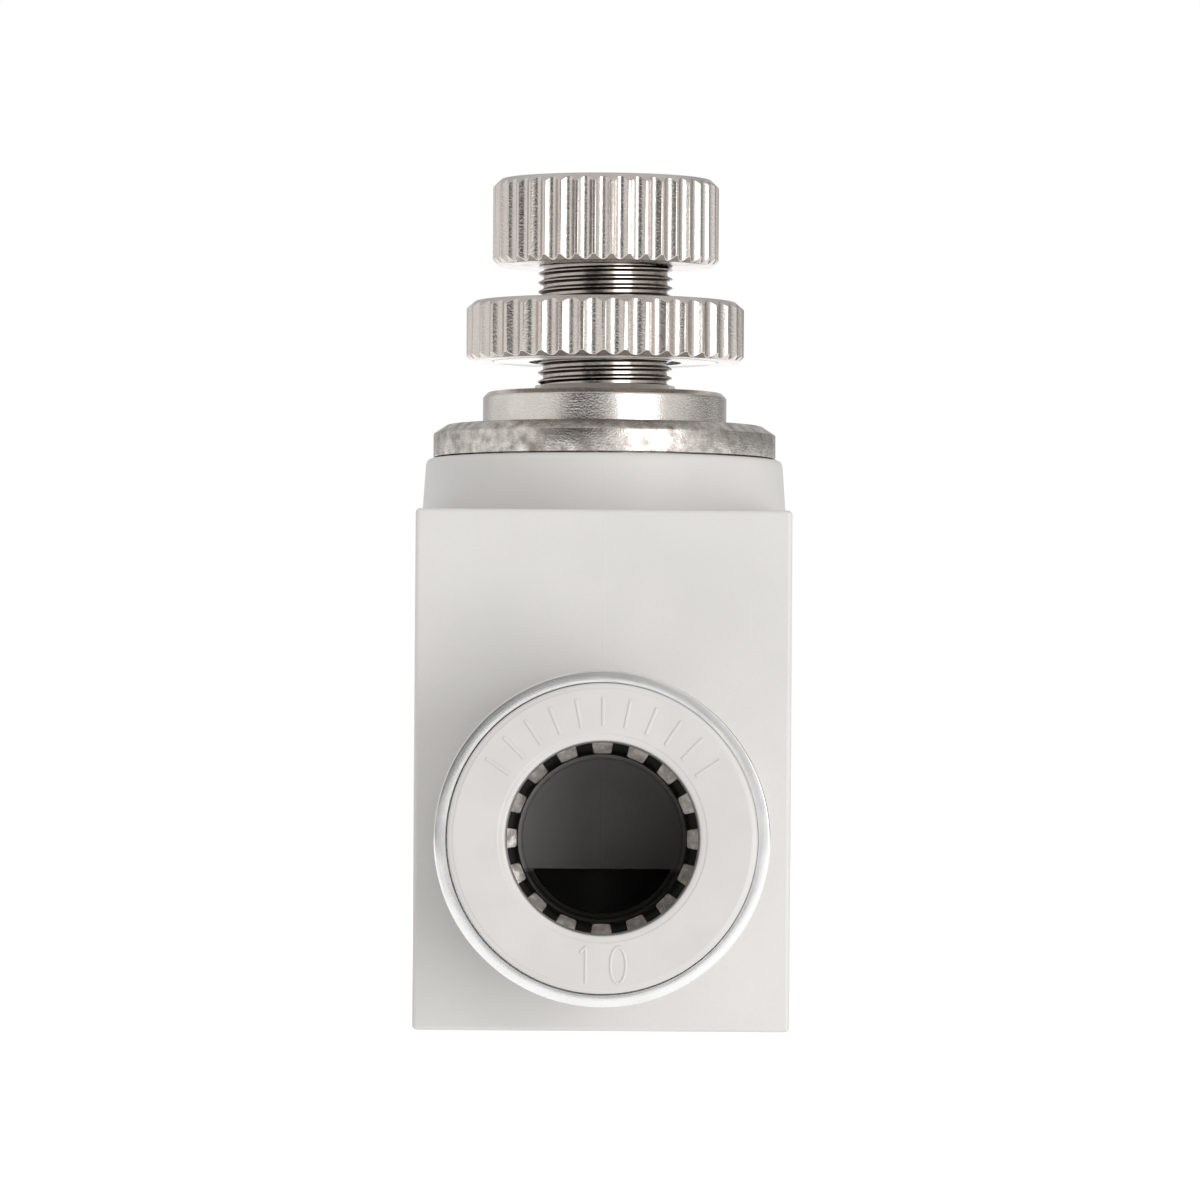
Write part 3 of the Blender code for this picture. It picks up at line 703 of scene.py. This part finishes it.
def fluted_shape(radius, bottom, top, low_edge, high_edge, turn, inside):
    """A fluted wheel. Each edge is the (width, height) of a cone that cuts the flutes off, and inside is the
    profile from the top back down to the bottom."""
    columns = [
        (math.radians(turn + 360 / FLUTES * (flute + step / FLUTE_STEPS)),
         flute_radius(step / FLUTE_STEPS, radius))
        for flute in range(FLUTES)
        for step in range(FLUTE_STEPS)
    ]

    def loop(spot):
        """A loop of points, from a function that gives the radius and height for a column's outside."""
        spots = [(angle, *spot(outside)) for angle, outside in columns]
        return [(r * math.cos(angle), r * math.sin(angle), height) for angle, r, height in spots]

    low_width, low_height = low_edge
    high_width, high_height = high_edge
    low_radius, high_radius = radius - low_width, radius - high_width
    loops = [
        loop(lambda r: (low_radius, bottom)),
        loop(lambda r: (r, bottom + low_height * (r - low_radius) / low_width)),
        loop(lambda r: (r, top - high_height * (r - high_radius) / high_width)),
        loop(lambda r: (high_radius, top)),
    ]
    loops += [loop(lambda r, spot=spot: (spot.x, spot.y)) for spot in inside]
    return Shape().skin(loops, closed=True)


def add_knob(finish):
    """The knob, with a recess on top for the needle's turned-over end."""
    recess, floor, edge, bore = 3.9, KNOB_TOP - 0.7, 0.15, 3.0
    inside = [Vector(spot) for spot in (
        (recess + edge, KNOB_TOP), (recess, KNOB_TOP - edge), (recess, floor), (bore, floor),
        (bore, KNOB_BOTTOM),
    )]
    shape = fluted_shape(KNOB_RADIUS, KNOB_BOTTOM, KNOB_TOP, KNOB_LOW_EDGE, KNOB_HIGH_EDGE, KNOB_FLUTE_TURN,
                         inside)
    knob = add_piece("knob_fluted", shape.mesh("knob"), finish, "adjusting_screw", "knob")
    soften(knob, WHEEL_WEAR)


def add_nut(finish):
    """The lock nut, countersunk at both ends, with a shallow recess below for the washer."""
    sink, low_sink, recess, seat = 0.55, 0.36, WASHER_RADIUS + FIT, WASHER_TOP + FIT
    inside = [Vector(spot) for spot in (
        (THREAD_BORE + sink, NUT_TOP), (THREAD_BORE, NUT_TOP - sink), (THREAD_BORE, seat + low_sink),
        (THREAD_BORE + low_sink, seat), (recess, seat), (recess, NUT_BOTTOM),
    )]
    shape = fluted_shape(NUT_RADIUS, NUT_BOTTOM, NUT_TOP, NUT_LOW_EDGE, NUT_HIGH_EDGE, NUT_FLUTE_TURN, inside)
    nut = add_piece("nut_fluted", shape.mesh("nut"), finish, "lock_nut", "lock_nut")
    soften(nut, WHEEL_WEAR)


def add_washer(finish):
    """A thin washer. Its bore clears the gland's lip when the nut is screwed down."""
    bore, edge = 4.22, 0.04
    profile = [
        (bore, WASHER_BOTTOM), (WASHER_RADIUS, WASHER_BOTTOM, edge), (WASHER_RADIUS, WASHER_TOP, edge),
        (bore, WASHER_TOP),
    ]
    mesh = Shape().turn(profile).mesh("washer")
    add_piece("thrust_washer", mesh, finish, "nut_washer", "nut_washer")


# ---------------------------------------------------------------- push-in sockets


def collar_shape():
    """The bright ring on the barrel's end, with a hub in the socket and a cup for the release ring."""
    hub, hub_bore, hub_end, skirt_end = CASSETTE_RADIUS - FIT, 7.0, 20.5, GRAB_PLANE + 0.3
    cup, cup_floor, bore = RELEASE_RADIUS + 0.075, 24.4, 6.45
    profile = [
        (cup, COLLAR_END, 0.02), (COLLAR_RADIUS - 0.05, COLLAR_END - 0.012, 0.03),
        (COLLAR_RADIUS, COLLAR_END - 0.12, 0.05), (COLLAR_RADIUS, BARREL_END + FIT, 0.12),
        (hub, BARREL_END + FIT), (hub, skirt_end), (hub_bore, skirt_end), (hub_bore, hub_end),
        (bore, hub_end), (bore, cup_floor), (cup, cup_floor),
    ]
    return Shape().turn(profile)


def relief(shape, path, width, height, base, closed=False):
    """A raised stroke with a round back that follows a path on a flat face.

    A point of its section is (across, up), as shares of the width and the height.
    """
    section = [(-0.5, -1.0), (-0.46, 0.2), (-0.3, 0.75), (0.0, 1.0), (0.3, 0.75), (0.46, 0.2), (0.5, -1.0)]
    spots = [Vector(spot) for spot in path]
    loops = []
    for index, spot in enumerate(spots):
        before = spots[index - 1] if closed or index else spot
        after = spots[(index + 1) % len(spots)] if closed or index < len(spots) - 1 else spot
        heading = (after - before).normalized()
        side = Vector((heading.y, -heading.x))
        loops.append([
            (*(spot + side * across * width), base + up * height) for across, up in section
        ])
    shape.skin(loops, closed=closed, caps=not closed)


def size_mark(shape, base):
    """The tube size, 10, as two thin raised figures."""
    width, height = 0.19, 0.07
    low, high, flag, steps = -7.55, -5.66, 0.3, 48
    one_x, nought_x, nought_half = -0.84, 0.86, 0.40
    relief(shape, [(one_x, low), (one_x, high)], width, height, base)
    relief(shape, [(one_x - flag, high - flag), (one_x, high)], width, height, base)
    turns = [2 * math.pi * step / steps for step in range(steps)]
    middle, half = (low + high) / 2, (high - low) / 2
    nought = [(nought_x + nought_half * math.cos(t), middle + half * math.sin(t)) for t in turns]
    relief(shape, nought, width, height, base, closed=True)


def grip_ribs(shape, base):
    """Plain raised ribs over the top of the ring's face."""
    count, spread, inner, outer = 11, 56, 5.85, 7.35
    width, height = 0.22, 0.07
    for rib in range(count):
        angle = math.radians(90 + spread * (1 - 2 * rib / (count - 1)))
        ray = Vector((math.cos(angle), math.sin(angle)))
        relief(shape, [ray * inner, ray * outer], width, height, base)


def release_shape():
    """The ring that is pressed to let the tube go: head, neck, a bead in the hub and a nose at the teeth."""
    face, rim_in, rim_out = RELEASE_END - 0.07, RELEASE_BORE + 0.4, RELEASE_RADIUS - 0.3
    head_back, neck, bead, hub_end = RELEASE_END - 2.7, 6.15, 6.8, 20.45
    profile = [
        (RELEASE_BORE, face - 0.06, 0.18), (rim_in - 0.07, face - 0.05), (rim_in, face, 0.03),
        (rim_out, face, 0.05), (rim_out + 0.04, face - 0.04, 0.05), (RELEASE_RADIUS, face - 0.08, 0.22),
        (RELEASE_RADIUS, head_back, 0.1), (neck, head_back), (neck, hub_end), (bead, hub_end, 0.1),
        (bead, RELEASE_NOSE + 0.6, 0.1), (neck, RELEASE_NOSE, 0.15), (RELEASE_BORE, RELEASE_NOSE, 0.15),
    ]
    shape = Shape().turn(profile)
    size_mark(shape, face)
    grip_ribs(shape, face)
    return shape


def tooth_outline():
    """Half-width against distance along a tooth from the bend, round the tip and back."""
    length = (GRAB_ROOT_RADIUS - GRAB_TIP_RADIUS) / math.cos(GRAB_LEAN)
    root, tip, corner, overlap = 0.84, 0.53, 0.16, 0.15
    arc = [math.radians(degrees) for degrees in (0, 30, 60, 90)]
    side = [(-root, -overlap), (-root, 0.0)]
    side += [(-tip + corner - corner * math.cos(t), length - corner + corner * math.sin(t)) for t in arc]
    return side + [(-x, along) for x, along in reversed(side)]


def grab_shape():
    """A flat rim, and teeth that lean inwards, with edges rounded by stamping.

    A layer of a tooth is (how far its tip is drawn in, its level as a share of the thickness). Its sides are
    drawn in by narrowing times as much, as a share of the width.
    """
    low, high = GRAB_PLANE - GRAB_THICKNESS / 2, GRAB_PLANE + GRAB_THICKNESS / 2
    rim = [(GRAB_ROOT_RADIUS, low, 0.05), (GRAB_RIM_RADIUS, low, 0.05), (GRAB_RIM_RADIUS, high, 0.05),
           (GRAB_ROOT_RADIUS, high, 0.05)]
    shape = Shape().turn(rim)
    outline, tip_start, narrowing = tooth_outline(), 0.5, 1.5
    layers = ((0.05, -0.5), (0.0, -0.32), (0.0, 0.25), (0.03, 0.42), (0.08, 0.5))
    for tooth in range(GRAB_TEETH):
        turn = Matrix.Rotation(2 * math.pi * tooth / GRAB_TEETH, 3, "Z")
        loops = []
        for inset, level in layers:
            loop = []
            depth = level * GRAB_THICKNESS
            for x, reach in outline:
                along = reach - inset if reach > tip_start else reach
                out = GRAB_ROOT_RADIUS - along * math.cos(GRAB_LEAN) - depth * math.sin(GRAB_LEAN)
                height = GRAB_PLANE - along * math.sin(GRAB_LEAN) + depth * math.cos(GRAB_LEAN)
                loop.append(turn @ Vector((x * (1 - narrowing * inset), out, height)))
            loops.append(loop)
        shape.skin(loops, caps=True)
    return shape


def support_shape():
    """The ring that backs the teeth, with a cone they can bend into."""
    low, high, outer = CASSETTE_FLOOR + FIT, GRAB_PLANE - 0.3, CASSETTE_RADIUS - FIT
    bore, cone_low, cone_radius = 5.3, 15.6, 6.5
    profile = [
        (bore, low, 0.05), (outer, low), (outer, high), (cone_radius, high, 0.1), (bore, cone_low, 0.1),
    ]
    return Shape().turn(profile)


def seal_shape():
    """The tube's seal, with a blunt lip inside."""
    outer, inner, lip = SEAL_BORE_RADIUS - FIT, 5.9, 4.5
    low, high = SEAL_FLOOR + 0.1, CASSETTE_FLOOR - 0.1
    middle = (low + high) / 2
    profile = [
        (outer, low, 0.2), (outer, high, 0.2), (inner, high, 0.3), (lip + 0.12, middle + 0.9, 0.3),
        (lip, middle + 0.3, 0.25), (lip + 0.15, middle - 0.5, 0.3), (inner, low, 0.3),
    ]
    return Shape().turn(profile)


def add_socket(side, finishes):
    place = port_place(side)
    ring_place = port_place(side, RELEASE_SLACK if side == "front" else (0, 0, 0))
    parts = [
        ("collar", collar_shape(), "polished_collar", "root", place),
        ("grab_ring", grab_shape(), "spring_steel", "root", place),
        ("support_ring", support_shape(), "black_plastic", "root", place),
        ("tube_seal", seal_shape(), "seal_rubber", "root", place),
        ("release_ring", release_shape(), "release_plastic", f"release_{side}", ring_place),
    ]
    for name, shape, slot, body, where in parts:
        node = f"{name}_{side}"
        add_piece(f"{node}_fine", shape.mesh(node), finishes[slot], body, node, where)


# ---------------------------------------------------------------- hidden pieces


def dress_hidden_nodes(finishes):
    """The pieces inside the body keep their CAD shapes, with finer materials."""
    hidden = {
        "check_seal": "seal_rubber", "cartridge_seal_upper": "seal_rubber",
        "stem_seal": "seal_rubber", "cartridge_seal_lower": "seal_rubber",
        "seat_cage": "black_plastic",
    }
    for node, finish in hidden.items():
        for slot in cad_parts[node].material_slots:
            slot.material = finishes[finish]


# ---------------------------------------------------------------- studio, in metres

FLOOR_HALF, FLOOR_GAP = 3.0, 0.00005
LAMP_AIM = Vector((0, 0, 0.02))
CAMERA_PLACE, CAMERA_LENS = (-0.00019, -0.479, 0.01076), 259.4
CAMERA_TILT, CAMERA_ROLL = math.radians(90 + 1.524), math.radians(0.385)
WORLD_TONES = (
    # degrees around from the camera's side, to the right when seen from there; brightness
    (-180, 0.60), (-152, 0.50), (-128, 0.80), (-95, 0.95), (-60, 0.92), (-45, 0.72), (-34, 0.08),
    (-13, 0.03), (-3, 0.32), (2, 0.50), (10, 0.88), (20, 1.10), (45, 1.05), (62, 0.92),
    (78, 0.70), (100, 0.40), (116, 0.28), (129, 0.50), (142, 0.30), (158, 0.50), (180, 0.60),
)
TOP_TONE, LOW_TONE = 0.74, 0.93
TOP_SPREAD, LOW_SPREAD = (0.35, 0.85), (-0.03, -0.25)  # from the sides' tone to the top's or the floor's


def add_floor():
    """White paper that glows a little, so that it stays as white as the background."""
    half = FLOOR_HALF
    mesh = bpy.data.meshes.new("floor")
    corners = [(-half, -half, 0), (half, -half, 0), (half, half, 0), (-half, half, 0)]
    mesh.from_pydata(corners, [], [(0, 1, 2, 3)])
    floor = add_object("floor", mesh)
    floor.location.z = -FLOOR_GAP
    finish = Finish("floor")
    paper = finish.noise(40.0, detail=2.0)
    finish.set("Base Color", finish.mix(paper, (0.92, 0.92, 0.92), (0.94, 0.94, 0.94)))
    finish.set("Roughness", 0.7)
    finish.set("Emission Color", (1.0, 1.0, 1.0, 1.0))
    finish.set("Emission Strength", 0.45)
    mesh.materials.append(finish.material)
    floor.visible_diffuse = False
    floor.visible_shadow = False


def add_light(name, place, size, power, reflected=True):
    """A rectangular lamp that is aimed at the valve's middle."""
    light = bpy.data.lights.new(name, "AREA")
    light.shape = "RECTANGLE"
    light.size, light.size_y = size
    light.energy = power
    lamp = add_object(name, light)
    lamp.location = place
    lamp.rotation_euler = (LAMP_AIM - Vector(place)).to_track_quat("-Z", "Y").to_euler()
    lamp.visible_camera = False
    lamp.visible_glossy = reflected


def add_world():
    """A tent that is bright at the right front, dark just left of the camera, white on the left, and grey on
    the right and behind. The camera itself sees plain white."""
    world = bpy.data.worlds.new("studio")
    world.use_nodes = True
    nodes = Nodes(world.node_tree)
    parts = nodes.add("SeparateXYZ", Vector=nodes.add("TexCoord", "Generated")).outputs
    azimuth = nodes.math("ARCTAN2", parts["X"], nodes.math("MULTIPLY", parts["Y"], -1.0))
    tones = nodes.add("ValToRGB", Fac=nodes.ramp(azimuth, -math.pi, math.pi))
    stops = tones.color_ramp.elements
    while len(stops) < len(WORLD_TONES):
        stops.new(0.5)
    for stop, (degrees, tone) in zip(stops, WORLD_TONES):
        stop.position = degrees / 360 + 0.5
        stop.color = (tone, 0.99 * tone, 0.98 * tone, 1.0)
    tent = tones.outputs["Color"]
    for spread, tone in ((LOW_SPREAD, LOW_TONE), (TOP_SPREAD, TOP_TONE)):
        share = nodes.ramp(parts["Z"], *spread, interpolation="SMOOTHSTEP")
        tent = nodes.mix(share, tent, (tone, tone, tone))
    seen = nodes.mix(nodes.add("LightPath", "Is Camera Ray"), tent, (1.0, 1.0, 1.0))
    nodes.feed(nodes.tree.nodes["Background"].inputs["Color"], seen)
    bpy.context.scene.world = world


def add_lights():
    """A key at the right front, and two soft fills that aren't seen in reflections."""
    add_light("key", (0.415, -0.67, -0.05), (0.45, 0.50), 2.45)
    add_light("front_top", (0.10, -0.70, 0.45), (0.60, 0.40), 0.7, reflected=False)
    add_light("rear_top", (-0.30, 0.70, 0.40), (0.60, 0.40), 1.6, reflected=False)


def add_camera():
    """A long lens, about level with the sockets, tilted up so that the knob is in the frame too."""
    camera = bpy.data.cameras.new("camera")
    camera.sensor_width, camera.lens = 36, CAMERA_LENS
    camera.clip_start, camera.clip_end = 0.01, 20
    viewer = add_object("camera", camera)
    viewer.location = CAMERA_PLACE
    turn = Matrix.Rotation(CAMERA_TILT, 3, "X") @ Matrix.Rotation(CAMERA_ROLL, 3, "Z")
    viewer.rotation_euler = turn.to_euler()
    bpy.context.scene.camera = viewer


def main():
    makers = (body_plastic, release_plastic, turned_nickel, flange_nickel, fluted_nickel, thread_nickel,
              polished_collar, spring_steel, black_plastic, seal_rubber, washer_nylon)
    finishes = {maker.__name__: maker() for maker in makers}
    add_body(finishes["body_plastic"])
    add_flange(finishes["flange_nickel"])
    add_gland(finishes["turned_nickel"])
    add_stem(finishes["thread_nickel"])
    add_knob(finishes["fluted_nickel"])
    add_nut(finishes["fluted_nickel"])
    add_washer(finishes["washer_nylon"])
    for side in SIDES:
        add_socket(side, finishes)
    dress_hidden_nodes(finishes)
    add_floor()
    add_world()
    add_lights()
    add_camera()
    bpy.context.scene.view_settings.view_transform = "Standard"


main()
